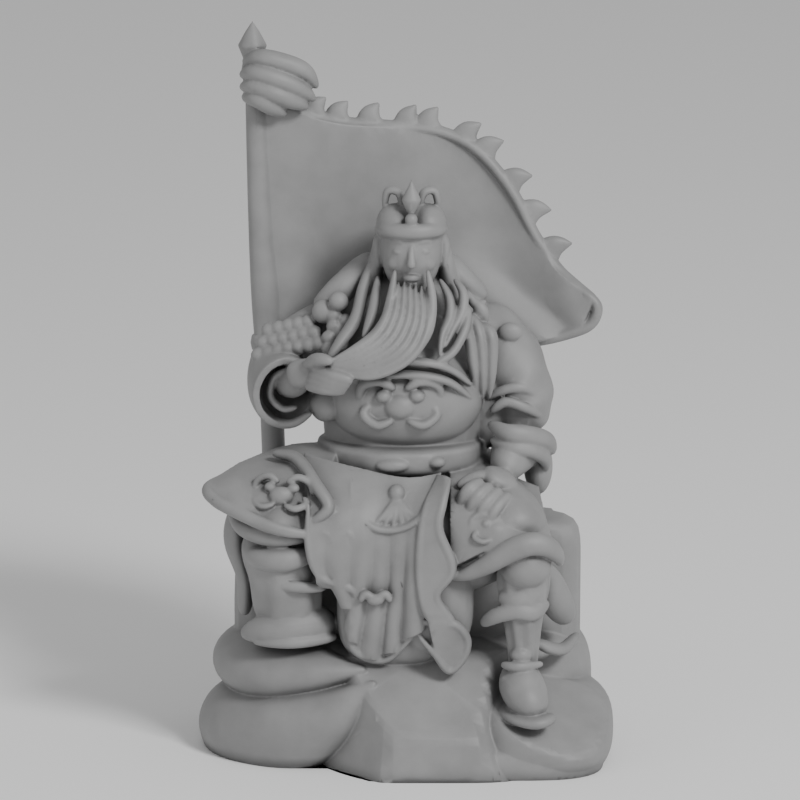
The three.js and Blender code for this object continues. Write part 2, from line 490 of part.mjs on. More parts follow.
// The cap: a padded band, two puffs parted down the middle, loops and a flame finial in front.
function cap() {
  const [x, y, z] = HEAD;
  const parts = [
    limb([[x - 14, y + 2, z + 7], [x - 10, y - 11, z + 8.5], [x, y - 15, z + 8.5], [x + 10, y - 11, z + 8.5],
      [x + 14, y + 2, z + 7]], [[2.2, 2.4], [2.8, 3], [3, 3.2], [2.8, 3], [2.2, 2.4]], { front: [0, 0, 1], sides: 8, rings: 12 }),
    lump([x, y + 4, z + 7], [14.5, 15, 11], { sides: 16, rings: 10 }),
    lump([x, y - 15, z + 13.5], [2.6, 2.4, 2.6], { sides: 8, rings: 6 }),
    turned([x, y - 12, z + 15], [[0, -2], [1.4, 0], [4, 6], [2.6, 9], [1.2, 11.5], [0, 14.5]], 8),
  ];
  for (const side of [-1, 1]) {
    parts.push(lump([x + side * 6.6, y - 3, z + 10], [7.6, 11, 8], { sides: 12, rings: 8 }));
    parts.push(limb([[x + side * 3.5, y - 4, z + 16], [x + side * 5, y - 4, z + 22.5], [x + side * 9.5, y - 3, z + 23],
      [x + side * 11, y - 2, z + 16]], [[1.7, 2.2]], { sides: 8, rings: 10 }));
    parts.push(limb([[x + side * 13, y + 6, z + 2], [x + side * 15, y + 6, z - 12], [x + side * 20, y + 4, z - 26]],
      [[3, 5], [3.4, 6], [3, 4]], { sides: 8 }));
  }
  return join(parts);
}

const BEARD_UPPER = [[-5, -20, 200], [-7, -27, 189], [-12, -33, 181], [-21, -37, 175], [-31, -39, 170.5]];
const BEARD_LOWER = [[9, -20, 198], [9, -30, 183], [2, -36, 171.5], [-13, -39, 164.5], [-29, -39, 166]];

// Long beard swept aside in locks to the raised hand, with the moustache over it.
function beard() {
  const parts = [
    limb([[2, -16, 198], [1, -26, 186], [-5, -32, 176], [-17, -35, 169], [-29, -37, 168]], [[6, 3], [7, 4], [7, 4], [5, 4], [2, 2]]),
    limb([[-4, -22, 205], [-6, -25, 193], [-9, -31, 184], [-16, -36, 178], [-29, -40, 171.5]], [[1.6, 1.8], [2, 2.4], [2, 2.4], [1.2, 1.6]],
      { sides: 8, rings: 12 }),
    limb([[9, -22, 205], [11, -25, 193], [9.5, -31, 182], [4, -36, 174], [-2, -39, 169]], [[1.6, 1.8], [2, 2.4], [2, 2.4], [1.2, 1.6]],
      { sides: 8, rings: 12 }),
  ];
  for (let i = 0; i < BEARD_LOCKS; i++) {
    const path = BEARD_UPPER.map((point, station) => mixPoint(point, BEARD_LOWER[station], i / (BEARD_LOCKS - 1)));
    parts.push(limb(path, [[1.4, 2.4], [2, 3.4], [2.2, 3.6], [1.8, 3], [1, 1.4]], { sides: 8, rings: 12 }));
  }
  return join(parts);
}

// Hair and scarf ends over both shoulders, and the small bow on the left.
function hair() {
  const lock = { sides: 8, rings: 10 };
  return join([
    limb([[-13, -1, 206], [-17, -8, 195], [-20, -17, 184], [-26, -25, 176], [-31, -30, 170]], [[2, 3], [2.6, 4], [2.6, 4], [2, 3]], lock),
    limb([[-11, -9, 200], [-13, -20, 188], [-17, -28, 178]], [[1.6, 2.4], [2.2, 3], [1.4, 2]], lock),
    limb([[-13, 6, 206], [-20, 4, 198], [-28, 0, 191], [-37, -1, 186]], [[5, 6], [6, 7], [6, 7], [4, 5]], lock),
    limb([[15, 6, 207], [23, 5, 197], [33, 6, 188]], [[4, 6], [5, 7], [4, 5]], lock),
    limb([[14, -10, 199], [18, -15, 192], [18, -20, 185], [15, -25, 179], [14, -30, 171]], [[1.6, 2.6], [2.2, 3], [1.4, 2]], lock),
    limb([[20, -10, 199], [23.5, -14, 194], [23, -18, 187], [19, -23, 180], [16, -28, 174]], [[1.6, 2.6], [2.2, 3], [1.2, 2]], lock),
    limb([[25, -10, 194], [28.5, -12, 189], [33, -11, 190]], [[1.4, 1.6], [2, 2], [1.2, 1.4]], lock),
    limb([[28, -12, 191], [31, -13, 186], [33, -13, 181]], [[1.4, 1.6], [3, 2], [1.4, 1.4]], lock),
    lump([-33, -8, 185], [5, 5, 5], { sides: 8, rings: 6 }),
    lump([-27, -12, 190], [4, 4, 4], { sides: 8, rings: 6 }),
  ]);
}

// Everything joined, then cut to the flat underside and to the block the casting fits in.
function figurine() {
  const whole = join([
    rock(), seat(), standard(), banner(), torso(), collar(), beastMask([-2, -29, 150], 1.35), rightLeg(), rightSkirt(),
    leftLeg(), leftSkirt(), robeFront(), rightArm(), rightHand(), leftArm(), leftHand(), head(), cap(), beard(), hair(),
  ]);
  const room = new THREE.BoxGeometry(2 * ROCK_HALF_WIDTH, 2 * ROCK_HALF_DEPTH, HEIGHT);
  room.translate(0, 0, HEIGHT / 2);
  const trimmed = wasm.Manifold.intersection(whole, solid(room)).decompose();
  return trimmed.sort((a, b) => b.volume() - a.volume())[0];
}

// How much a vertex may be moved off the faces round it, kept as the ten different terms of a square matrix.
function faceError(a, b, c) {
  const normal = b.clone().sub(a).cross(c.clone().sub(a));
  const area = normal.length() / 2;
  if (area < 1e-9) return new Array(10).fill(0);
  const [x, y, z] = normal.normalize().toArray();
  const d = -normal.dot(a);
  return [x * x, x * y, x * z, x * d, y * y, y * z, y * d, z * z, z * d, d * d].map((term) => term * area);
}

function errorAt(q, { x, y, z }) {
  return q[0] * x * x + q[4] * y * y + q[7] * z * z + q[9]
    + 2 * (q[1] * x * y + q[2] * x * z + q[3] * x + q[5] * y * z + q[6] * y + q[8] * z);
}

// The place with the least error for a joined vertex, or null where the faces leave it undecided.
function bestPlace(q) {
  const matrix = new THREE.Matrix3().set(q[0], q[1], q[2], q[1], q[4], q[5], q[2], q[5], q[7]);
  const size = q[0] + q[4] + q[7];
  if (Math.abs(matrix.determinant()) < 1e-4 * size * size * size) return null;
  return new THREE.Vector3(-q[3], -q[6], -q[8]).applyMatrix3(matrix.invert());
}

// Thins a closed surface to a number of triangles by closing its least telling edges one after another.
// An edge stays where closing it would fold a face over, make a sliver or pinch the surface.
function thin(places, corners, wanted) {
  const points = [];
  for (let i = 0; i < places.length; i += 3) points.push(new THREE.Vector3(...places.slice(i, i + 3)));
  const faces = [];
  for (let i = 0; i < corners.length; i += 3) faces.push([...corners.slice(i, i + 3)]);
  const around = points.map(() => new Set());
  const errors = points.map(() => new Array(10).fill(0));
  faces.forEach((face, index) => {
    const error = faceError(...face.map((corner) => points[corner]));
    for (const corner of face) {
      around[corner].add(index);
      error.forEach((term, k) => { errors[corner][k] += term; });
    }
  });
  const neighbours = (v) => new Set([...around[v]].flatMap((f) => faces[f]).filter((w) => w !== v));

  function plan(a, b) {
    const q = errors[a].map((term, k) => term + errors[b][k]);
    const tries = [points[a], points[b], points[a].clone().lerp(points[b], 0.5)];
    const best = bestPlace(q);
    const length = points[a].distanceTo(points[b]);
    if (best && best.distanceTo(tries[2]) < 2 * length) tries.push(best);
    const costs = tries.map((place) => errorAt(q, place) + 1e-4 * length * length);
    const least = Math.min(...costs);
    return { a, b, cost: least, place: tries[costs.indexOf(least)].clone(), stamp: stamps[a] + stamps[b] };
  }

  function allowed({ a, b, place }) {
    const ringA = neighbours(a);
    const shared = [...neighbours(b)].filter((w) => ringA.has(w));
    if (shared.length !== 2) return false;
    for (const [v, other] of [[a, b], [b, a]]) {
      for (const f of around[v]) {
        if (faces[f].includes(other)) continue;
        const old = faces[f].map((corner) => points[corner]);
        const next = faces[f].map((corner) => (corner === v ? place : points[corner]));
        const before = old[1].clone().sub(old[0]).cross(old[2].clone().sub(old[0]));
        const after = next[1].clone().sub(next[0]).cross(next[2].clone().sub(next[0]));
        const longest = Math.max(...[0, 1, 2].map((k) => next[k].distanceTo(next[(k + 1) % 3])));
        if (after.length() < 0.04 * longest * longest && after.length() < before.length()) return false;
        if (before.length() > 1e-6 && after.dot(before) < 0.3 * after.length() * before.length()) return false;
      }
    }
    return true;
  }

  const stamps = points.map(() => 0);
  const heap = [];
  function push(item) {
    let at = heap.length;
    heap.push(item);
    while (at > 0 && heap[(at - 1) >> 1].cost > item.cost) {
      heap[at] = heap[(at - 1) >> 1];
      at = (at - 1) >> 1;
    }
    heap[at] = item;
  }
  function pop() {
    const top = heap[0];
    const last = heap.pop();
    let at = 0;
    while (heap.length && 2 * at + 1 < heap.length) {
      let child = 2 * at + 1;
      if (child + 1 < heap.length && heap[child + 1].cost < heap[child].cost) child += 1;
      if (heap[child].cost >= last.cost) break;
      heap[at] = heap[child];
      at = child;
    }
    if (heap.length) heap[at] = last;
    return top;
  }
  points.forEach((_, a) => neighbours(a).forEach((b) => { if (a < b) push(plan(a, b)); }));

  let count = faces.length;
  while (count > wanted && heap.length) {
    const item = pop();
    const { a, b, place } = item;
    if (!around[a].size || !around[b].size || item.stamp !== stamps[a] + stamps[b] || !allowed(item)) continue;
    for (const f of [...around[b]]) {
      if (faces[f].includes(a)) {
        faces[f].forEach((corner) => around[corner].delete(f));
        count -= 1;
      } else {
        faces[f][faces[f].indexOf(b)] = a;
        around[a].add(f);
      }
    }
    around[b].clear();
    errors[a] = errors[a].map((term, k) => term + errors[b][k]);
    points[a] = place;
    stamps[a] += 1;
    neighbours(a).forEach((w) => push(plan(a, w)));
  }
  return faces.filter((face, index) => around[face[0]].has(index)).map((face) => face.map((corner) => points[corner]));
}

const { vertProperties, triVerts } = figurine().getMesh();
const faces = thin(vertProperties, triVerts, FINISH_TRIANGLES);
const geometry = mergeVertices(new THREE.BufferGeometry().setFromPoints(faces.flat()), 1e-4);
const resin = new THREE.MeshStandardMaterial({ color: 0x8d8d8d, roughness: 0.55, metalness: 0 });
const casting = new THREE.Mesh(geometry, resin);
casting.name = "warrior_figurine";

const root = new THREE.Group();
root.add(casting);
export default root;
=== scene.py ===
"""A seated warrior figurine, cast in grey resin in one piece with its rock and the banner behind it.

Every form is given in millimetres as in the part's own source, and turned to metres once the casting is whole.
X runs to the viewer's right, Y away from the viewer, Z up. The figure faces -Y, so its right side lies at -X.
"""
import math

import bpy
import numpy as np
from mathutils import Euler, Matrix, Vector


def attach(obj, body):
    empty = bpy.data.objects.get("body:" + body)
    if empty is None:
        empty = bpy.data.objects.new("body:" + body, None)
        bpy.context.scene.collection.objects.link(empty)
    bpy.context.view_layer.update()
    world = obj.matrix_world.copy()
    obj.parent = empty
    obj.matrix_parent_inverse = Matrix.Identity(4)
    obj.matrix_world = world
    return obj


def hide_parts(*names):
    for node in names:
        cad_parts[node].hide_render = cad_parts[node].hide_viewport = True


MM = 0.001
NODE = "warrior_figurine"

# The photograph's frame: 800 pixels at 0.411 mm each, seen from 12 degrees above the horizon.
FRAME_PIXELS = 800
MM_PER_PIXEL = 0.411
CAMERA_ELEVATION = 12.0
CAMERA_DISTANCE = 1.9
AIM = (-2.06, 0.0, 146.5)

# Finish of the casting, in millimetres.
VOXEL = 0.5
SOFTENING = 2
MOST_TRIANGLES = 196000

# Overall sizes.
HEIGHT = 300
ROCK_HALF_WIDTH = 86
ROCK_HALF_DEPTH = 58
PLATEAU_Z = 50
SEAT_TOP_Z = 98
SEAT_HALF_WIDTH = 72
SEAT_X = 1
POLE_FOOT = (-54, 24, 90)
POLE_HEAD = (-61.5, 24, 280)
FINIAL_BASE_Z = 281
FINIAL_X = -62.5
TOOTH_LENGTH = (8.5, 12)
TOOTH_PLACES = (0.13, 0.19, 0.27, 0.36, 0.41, 0.5, 0.555, 0.65, 0.735, 0.84)
BELT_Z = 127
HEAD = (2.5, -7, 212)
HEAD_RADII = (12.3, 14.5, 19.5)
BEARD_LOCKS = 7
FINGER_RADIUS = 2.6
SCALE_RADIUS = 3.2
SCALE_ROWS = 3
TASSEL_CORDS = 6

BANNER_TOP = [(-58, 24, 267), (-43, 26, 262), (-26, 29, 257.5), (-2, 33, 255), (16, 33, 252.5), (31, 31, 244.5),
              (44, 29, 229), (54, 28, 210), (63, 26, 197), (71, 22, 190), (78, 18, 185)]
BANNER_MIDDLE = [(-58, 24, 216), (-20, 30, 210), (20, 31, 206), (50, 25, 188), (76, 19, 179)]
BANNER_BOTTOM = [(-58, 24, 166), (-20, 24, 162), (25, 21, 160), (50, 20, 165), (65, 20, 169), (74, 19, 174)]
RIGHT_SKIRT = [
    [(-26, 8, 125), (-48, 2, 125), (-68, -10, 120)],
    [(-28, -22, 125), (-52, -24, 121), (-79, -32, 117)],
    [(-39, -46, 101), (-56, -46, 105.5), (-75, -39, 112)],
]
LEFT_SKIRT = [
    [(18, -20, 120), (34, -16, 119), (54, -8, 110)],
    [(18, -40, 113), (36, -40, 112), (56, -32, 104)],
    [(19, -47, 87), (42, -53, 98), (60, -45, 92)],
]
ROBE_TOP = [(-41, -18, 127), (-20, -29, 124), (0, -33, 121), (15, -31, 122)]
ROBE_LAP = [(-39, -44, 108), (-20, -45, 106), (-6, -43, 103), (8, -45, 108)]
ROBE_FALL = [(-38, -45, 88), (-20, -44, 84), (-6, -42, 82), (6, -47, 84)]
ROBE_HEM = [(-31, -42, 80), (-22, -41, 68), (-21, -38, 52), (-11, -37, 47), (-2, -40, 53), (8, -46, 62)]
BORDER_OUTER = [(14, -34, 122), (9, -46, 113), (6.5, -49, 103), (5.5, -49, 88), (6.5, -49, 76), (9, -49, 66),
                (12, -45, 52), (17, -41, 43)]
BORDER_INNER = [(18, -40, 123), (15, -49, 114), (13.5, -51, 104), (19, -50.5, 88), (12.5, -49, 76), (20, -48, 65),
                (25, -43, 56), (22, -41, 45)]
BEARD_UPPER = [(-5, -20, 200), (-7, -27, 189), (-12, -33, 181), (-21, -37, 175), (-31, -39, 170.5)]
BEARD_LOWER = [(9, -20, 198), (9, -30, 183), (2, -36, 171.5), (-13, -39, 164.5), (-29, -39, 166)]


def along_curve(points, t):
    """Places at the shares t of a smooth curve through a few points."""
    p = np.asarray(points, float)
    p = np.vstack([2 * p[0] - p[1], p, 2 * p[-1] - p[-2]])
    spans = len(points) - 1
    s = np.clip(t, 0, 1) * spans
    i = np.minimum(s.astype(int), spans - 1)
    f = (s - i)[:, None]
    a, b, c, d = p[i], p[i + 1], p[i + 2], p[i + 3]
    return 0.5 * (2 * b + (c - a) * f + (2 * a - 5 * b + 4 * c - d) * f ** 2 + (3 * b - a - 3 * c + d) * f ** 3)


def heading_on(points, t):
    step = 1e-3
    run = along_curve(points, np.minimum(t + step, 1)) - along_curve(points, np.maximum(t - step, 0))
    return unit(run)


def unit(vectors):
    return vectors / np.maximum(np.linalg.norm(vectors, axis=-1, keepdims=True), 1e-9)


def mix(a, b, share):
    return a + (b - a) * share


def mix_point(a, b, share):
    return tuple(mix(p, q, share) for p, q in zip(a, b))


def vertices_of(obj):
    co = np.empty(len(obj.data.vertices) * 3, np.float32)
    obj.data.vertices.foreach_get("co", co)
    return co.reshape(-1, 3).astype(float)


def set_vertices(obj, co):
    obj.data.vertices.foreach_set("co", np.asarray(co, np.float32).reshape(-1))
    obj.data.update()
    return obj


def limb(points, girth, sides=24, rings=32, front=(0, -1, 0), blunt=3.0, folds=None):
    """A ball drawn out along a curve: arms, legs, fingers, locks and rolls of cloth."""
    bpy.ops.mesh.primitive_uv_sphere_add(segments=sides, ring_count=rings, radius=1)
    obj = bpy.context.object
    ball = vertices_of(obj)
    t = (1 - ball[:, 2]) / 2
    angle = np.arctan2(ball[:, 1], ball[:, 0])
    swell = np.maximum(0, 1 - np.abs(2 * t - 1) ** blunt) ** (1 / blunt)
    stations = [girth[0], girth[0]] if len(girth) == 1 else girth
    half = along_curve([(w, d, 0) for w, d in stations], t)
    heading = heading_on(points, t)
    side = unit(np.cross(heading, np.asarray(front, float)))
    face = unit(np.cross(side, heading))
    skin = swell * (1 + (folds(angle, t) if folds else 0))
    place = along_curve(points, t)
    place += side * (skin * half[:, 0] * np.cos(angle))[:, None]
    place += face * (skin * half[:, 1] * np.sin(angle))[:, None]
    return set_vertices(obj, place)


def surface_on(rails, u, v):
    """Points of the surface spread over the rails: u along each rail, v from rail to rail."""
    across = np.stack([along_curve(rail, u) for rail in rails], axis=1)
    n = len(rails) - 1
    p = np.concatenate([2 * across[:, :1] - across[:, 1:2], across, 2 * across[:, -1:] - across[:, -2:-1]], axis=1)
    s = np.clip(v, 0, 1) * n
    i = np.minimum(s.astype(int), n - 1)
    f = (s - i)[:, None]
    rows = np.arange(len(u))
    a, b, c, d = p[rows, i], p[rows, i + 1], p[rows, i + 2], p[rows, i + 3]
    return 0.5 * (2 * b + (c - a) * f + (2 * a - 5 * b + 4 * c - d) * f ** 2 + (3 * b - a - 3 * c + d) * f ** 3)


def sheet(rails, thickness, across=80, down=60, waves=None):
    """A sheet of cloth spread over rails, raised by waves along its normal and given its thickness."""
    bpy.ops.mesh.primitive_grid_add(x_subdivisions=across, y_subdivisions=down, size=2)
    obj = bpy.context.object
    flat = vertices_of(obj)
    step = 1e-3
    u = np.clip((flat[:, 0] + 1) / 2, step, 1 - step)
    v = np.clip((1 - flat[:, 1]) / 2, step, 1 - step)
    right = surface_on(rails, u + step, v) - surface_on(rails, u - step, v)
    below = surface_on(rails, u, v + step) - surface_on(rails, u, v - step)
    normal = unit(np.cross(below, right))
    place = surface_on(rails, u, v)
    if waves:
        place = place + normal * waves(u, v)[:, None]
    set_vertices(obj, place)
    finish_with(obj, "SOLIDIFY", thickness=thickness, offset=0, use_even_offset=False)
    return obj


def tube(points, girth, thickness, sides=48, rows=32, front=(0, -1, 0), folds=None):
    """An open sleeve along a curve, with a wall: cuffs, hems and boot tops."""
    bpy.ops.mesh.primitive_cylinder_add(vertices=sides, radius=1, depth=2, end_fill_type="NOTHING")
    obj = bpy.context.object
    bpy.ops.object.mode_set(mode="EDIT")
    bpy.ops.mesh.select_all(action="SELECT")
    bpy.ops.object.mode_set(mode="OBJECT")
    split_rows(obj, rows)
    wall = vertices_of(obj)
    t = (1 - wall[:, 2]) / 2
    angle = np.arctan2(wall[:, 1], wall[:, 0])
    half = along_curve([(w, d, 0) for w, d in girth], t)
    heading = heading_on(points, t)
    side = unit(np.cross(heading, np.asarray(front, float)))
    face = unit(np.cross(side, heading))
    skin = 1 + (folds(angle, t) if folds else 0)
    place = along_curve(points, t)
    place += side * (skin * half[:, 0] * np.cos(angle))[:, None]
    place += face * (skin * half[:, 1] * np.sin(angle))[:, None]
    set_vertices(obj, place)
    finish_with(obj, "SOLIDIFY", thickness=thickness, offset=0, use_even_offset=False)
    return obj


def split_rows(obj, rows):
    """Cuts the upright edges of an open cylinder into rows."""
    bpy.ops.object.mode_set(mode="EDIT")
    for row in range(1, rows):
        height = 1 - 2 * row / rows
        bpy.ops.mesh.select_all(action="SELECT")
        bpy.ops.mesh.bisect(plane_co=(0, 0, height), plane_no=(0, 0, 1))
    bpy.ops.object.mode_set(mode="OBJECT")


def lump(centre, radii, power=2.0, turn=(0, 0, 0), cuts=(), worn=None, sides=32, rings=24):
    """A rounded mass: power 2 is an ellipsoid, more makes a block with soft edges. Each cut is a flat facet by
    azimuth, elevation and distance from the centre."""
    bpy.ops.mesh.primitive_uv_sphere_add(segments=sides, ring_count=rings, radius=1)
    obj = bpy.context.object
    way = unit(vertices_of(obj))
    reach = np.sum((np.abs(way) / np.asarray(radii, float)) ** power, axis=1) ** (-1 / power)
    if worn:
        reach = reach * (1 + worn(way[:, 0], way[:, 1], way[:, 2]))
    for azimuth, elevation, distance in cuts:
        a, e = math.radians(azimuth), math.radians(elevation)
        facing = way @ np.array([math.sin(a) * math.cos(e), -math.cos(a) * math.cos(e), math.sin(e)])
        limit = np.where(facing > 1e-3, distance / np.maximum(facing, 1e-3), 1e9)
        reach = np.minimum(reach, limit)
    turned = way * reach[:, None] @ np.array(Euler([math.radians(a) for a in turn]).to_matrix()).T
    return set_vertices(obj, turned + np.asarray(centre, float))


def turned(centre, profile, sides=32):
    """A turned or faceted shape about an upright axis, from half widths at heights."""
    radii = [(r, r) for r, _ in profile]
    bpy.ops.mesh.primitive_uv_sphere_add(segments=sides, ring_count=48, radius=1)
    obj = bpy.context.object
    ball = vertices_of(obj)
    t = (1 - ball[:, 2]) / 2
    heights = np.array([h for _, h in profile], float)
    stations = np.linspace(0, 1, len(profile))
    height = np.interp(t, stations, heights)
    radius = np.interp(t, stations, [r for r, _ in profile])
    angle = np.arctan2(ball[:, 1], ball[:, 0])
    place = np.stack([radius * np.cos(angle), radius * np.sin(angle), height], axis=1)
    return set_vertices(obj, place + np.asarray(centre, float))


def finish_with(obj, kind, **settings):
    """Adds one modifier with its settings and applies it."""
    bpy.ops.object.select_all(action="DESELECT")
    obj.select_set(True)
    bpy.context.view_layer.objects.active = obj
    modifier = obj.modifiers.new(kind.lower(), kind)
    for name, value in settings.items():
        setattr(modifier, name, value)
    bpy.ops.object.modifier_apply(modifier=modifier.name)


def join(forms, name):
    bpy.ops.object.select_all(action="DESELECT")
    for form in forms:
        form.select_set(True)
    bpy.context.view_layer.objects.active = forms[0]
    bpy.ops.object.join()
    whole = bpy.context.object
    whole.name = name
    return whole


def rock():
    worn = lambda x, y, z: 0.025 * np.sin(5 * x + 2 * z) + 0.025 * np.cos(4 * y - 5 * z)
    broad = dict(sides=64, rings=48)
    fold = dict(sides=48, rings=48, front=(0, 0, 1), blunt=2.6)
    return [
        limb([(-16, -38, 42), (-36, -27, 39), (-54, -10, 37), (-57, 14, 36), (-50, 34, 34)],
             [(4, 4), (16, 10), (22, 15), (23, 16), (18, 14)], **fold),
        limb([(-12, -42, 38), (-30, -34, 22), (-50, -18, 11), (-63, 4, 9), (-58, 34, 8)],
             [(3, 4), (14, 14), (22, 21), (25, 22), (19, 20)], **fold),
        lump((10, -9, 12), (44, 49, 36), power=5, cuts=[(4, 44, 39.5), (-46, 8, 46), (-3, 14, 49), (50, 24, 44)], **broad),
        lump((55, -17, 14), (31, 40.5, 20), power=2.6, worn=worn, cuts=[(30, 55, 19.5)], **broad),
        lump((46, -24, 4), (36, 31, 12), power=3, **broad),
        lump((50, 12, 27), (28, 32, 25), power=2.8, worn=worn, **broad),
        lump((0, 27, 17), (69, 31, 33), power=4, worn=worn, **broad),
        lump((-2, 2, 24), (58, 36, 25), power=4, **broad),
        lump((-30, -8, 8), (24, 24, 12), power=4, **broad),
    ]


def seat():
    half = (SEAT_TOP_Z - PLATEAU_Z + 18) / 2
    return [lump((SEAT_X, 20, SEAT_TOP_Z - half), (SEAT_HALF_WIDTH, 28, half), power=9, sides=96, rings=64,
                 cuts=[(-80, 12, 71), (150, 20, 36)])]


def standard():
    parts = [
        limb([POLE_FOOT, (-55.5, 24, 140), (-57.5, 24, 181), (-59.7, 24, 215), POLE_HEAD],
             [(5, 5), (5, 5), (6, 5.5), (5, 5), (4.4, 4.4)], blunt=12, rings=96),
        turned((-57, 24, 166), [(0, 3), (6.6, 3), (7.2, 0), (6.6, -3), (0, -3)]),
        turned((FINIAL_X, 24, FINIAL_BASE_Z), [(0, HEIGHT - FINIAL_BASE_Z), (3, 14.5), (6, 9), (3.8, 3.5), (4.8, -2), (0, -4)]),
        lump((-54, 22, 274), (12, 7, 9), turn=(0, 20, 0)),
    ]
    wraps = [
        [(-66, 24, 283), (-59, 16, 286), (-50, 15, 284), (-41, 17, 280), (-36, 21, 273)],
        [(-67, 23, 278), (-61, 15, 280), (-52, 13, 277.5), (-43, 16, 273), (-37, 20, 268)],
        [(-67, 23, 273), (-61, 15, 274.5), (-53, 13, 271.5), (-45, 16, 268), (-40, 19, 265)],
        [(-66, 23, 269), (-60, 15, 269), (-54, 15, 266), (-49, 19, 262.5)],
    ]
    for wrap in wraps:
        parts.append(limb(wrap, [(3, 3.4), (3.8, 4.4), (4, 4.4), (2.6, 3.4)]))
    return parts


def banner():
    def billow(u, v):
        return 2.4 * np.sin(9 * u - 4 * v) * np.minimum(1, 6 * u) * np.minimum(1, 6 * (1 - u))

    parts = [
        sheet([BANNER_TOP, BANNER_MIDDLE, BANNER_BOTTOM], 5, across=160, down=100, waves=billow),
        limb(BANNER_TOP, [(2.4, 3.4)], rings=120, blunt=10),
        limb([(77, 18, 187), (79.5, 18, 181), (76, 19, 174), (65, 20, 169.5), (50, 20, 165.5)], [(2.4, 3)], rings=64),
    ]
    even = np.linspace(0, 1, 800)
    trail = along_curve(BANNER_TOP, even)
    lengths = np.concatenate([[0], np.cumsum(np.linalg.norm(np.diff(trail, axis=0), axis=1))])
    for share in TOOTH_PLACES:
        t = np.array([np.interp(share * lengths[-1], lengths, even)])
        root = along_curve(BANNER_TOP, t)[0]
        run = heading_on(BANNER_TOP, t)[0]
        out = unit(np.array([-run[2], 0, run[0]]))
        length = mix(*TOOTH_LENGTH, share)
        stages = [root + out * a + run * b for a, b in ((-2, -1), (length * 0.45, -1), (length, 2))]
        parts.append(limb(stages, [(7, 3), (4.6, 2.4), (0.8, 0.8)]))
    return parts


def torso():
    studs = lambda angle, t: 0.015 * np.cos(10 * angle)
    return [
        limb([(-1, 6, 100), (-1, 4, 125), (0, 4, 150), (1, 5, 170), (2, 5, 194)],
             [(35, 27), (33, 28), (34, 26), (33, 22), (15, 13)], sides=64, rings=64),
        lump((0, -9, 150), (32, 22, 23), sides=48, rings=32),
        limb([(-32, 8, 176), (-16, 7, 184), (2, 6, 189), (18, 7, 186), (32, 8, 180)],
             [(12, 12), (13, 13), (12, 13), (13, 13), (12, 12)], sides=32, rings=48, front=(0, 0, 1)),
        lump((0, 4, 110), (44, 30, 19), power=2.6, sides=48, rings=32),
        limb([(-1, 2, 120), (-1, 2, BELT_Z), (-1, 2, 132)], [(34.5, 34)], sides=96, rings=32, blunt=6, folds=studs),
        lump((-5, -31, 126), (7, 3.5, 3)),
        lump((13, -30, 127), (3.4, 3, 2.4)),
    ]


def collar():
    parts = []
    for drop in (0, 5.5):
        parts.append(limb([(-24, -20, 164 - drop), (-10, -28, 168 - drop), (4, -31, 169 - drop), (17, -29, 166 - drop),
                           (27, -20, 157 - drop)], [(1.8, 2.6)]))
    parts.append(limb([(26, -16, 188), (24, -22, 180), (19, -27, 172), (12, -31, 168)], [(2, 3)]))
    for shift in (0, 4.5, 9):
        parts.append(limb([(22 + shift, -13, 190 - shift), (26 + shift, -18, 177), (28 + shift * 0.8, -18, 163),
                           (29 + shift * 0.6, -14, 150)], [(2, 3), (2.6, 4), (2.2, 3), (1.2, 2)]))
    return parts


def beast_mask(centre, size, turn=(0, 0, 0)):
    euler = Euler([math.radians(a) for a in turn])

    def at(*offset):
        placed = Vector(offset) * size
        placed.rotate(euler)
        return tuple(placed + Vector(centre))

    parts = [lump(at(0, 0, 0), (5 * size, 3.4 * size, 4 * size))]
    for side in (-1, 1):
        parts.append(lump(at(5 * side, -1, 3.4), (2.4 * size, 2.4 * size, 2 * size)))
        parts.append(limb([at(1.5 * side, -1, 5.5), at(6 * side, -1.4, 8), at(11 * side, 0.5, 6.5), at(12.5 * side, 2, 2)],
                          [(1.6 * size, 1.8 * size)]))
        parts.append(limb([at(2 * side, -1, -4), at(7 * side, -1, -5.5), at(11 * side, 0.5, -2.5), at(9 * side, 1, 0.5)],
                          [(1.5 * size, 1.8 * size)]))
    return parts


def right_leg():
    gathers = lambda angle, t: 0.05 * np.cos(7 * angle + 6 * t)
    level = dict(front=(0, 0, 1))
    return [
        limb([(-16, 6, 109), (-38, -10, 109), (-58, -29, 106), (-66, -34, 102)], [(17, 16), (19, 16), (17, 14), (12, 10)], **level),
        limb([(-56, -30, 102), (-51, -31, 86), (-48, -27, 68), (-47, -25, 56)], [(16, 13), (14.5, 12), (14, 12), (12, 12)],
             sides=48, rings=48, folds=gathers),
        limb([(-71, -28, 106), (-64, -39, 102), (-53, -43, 99.5), (-38, -42, 98.5)], [(3, 4), (4.5, 4.5), (4.5, 4.5), (3, 3)], **level),
        limb([(-65, -28, 92), (-59, -39, 90), (-49, -43, 89.5), (-35, -40, 91.5)], [(4, 4.6), (4.6, 5), (4.6, 5), (3, 4)], **level),
        limb([(-62, -26, 81), (-56, -37, 80), (-45, -41, 78), (-32, -40, 77)], [(2.4, 2.6)], **level),
        limb([(-29, -22, 57), (-41, -28, 59.5), (-54, -30, 58), (-67, -28, 54.5)], [(8, 7.5), (10, 8.5), (9.5, 7.5), (4.5, 4.5)], **level),
        limb([(-28, -30, 54), (-45, -37, 53.5), (-62, -33, 53)], [(3, 2.6)], **level),
        limb([(-68, -16, 107), (-69, -16, 92), (-65.5, -16, 76), (-66, -18, 60)], [(5, 11), (5.5, 11), (4, 9), (4, 7)]),
    ]


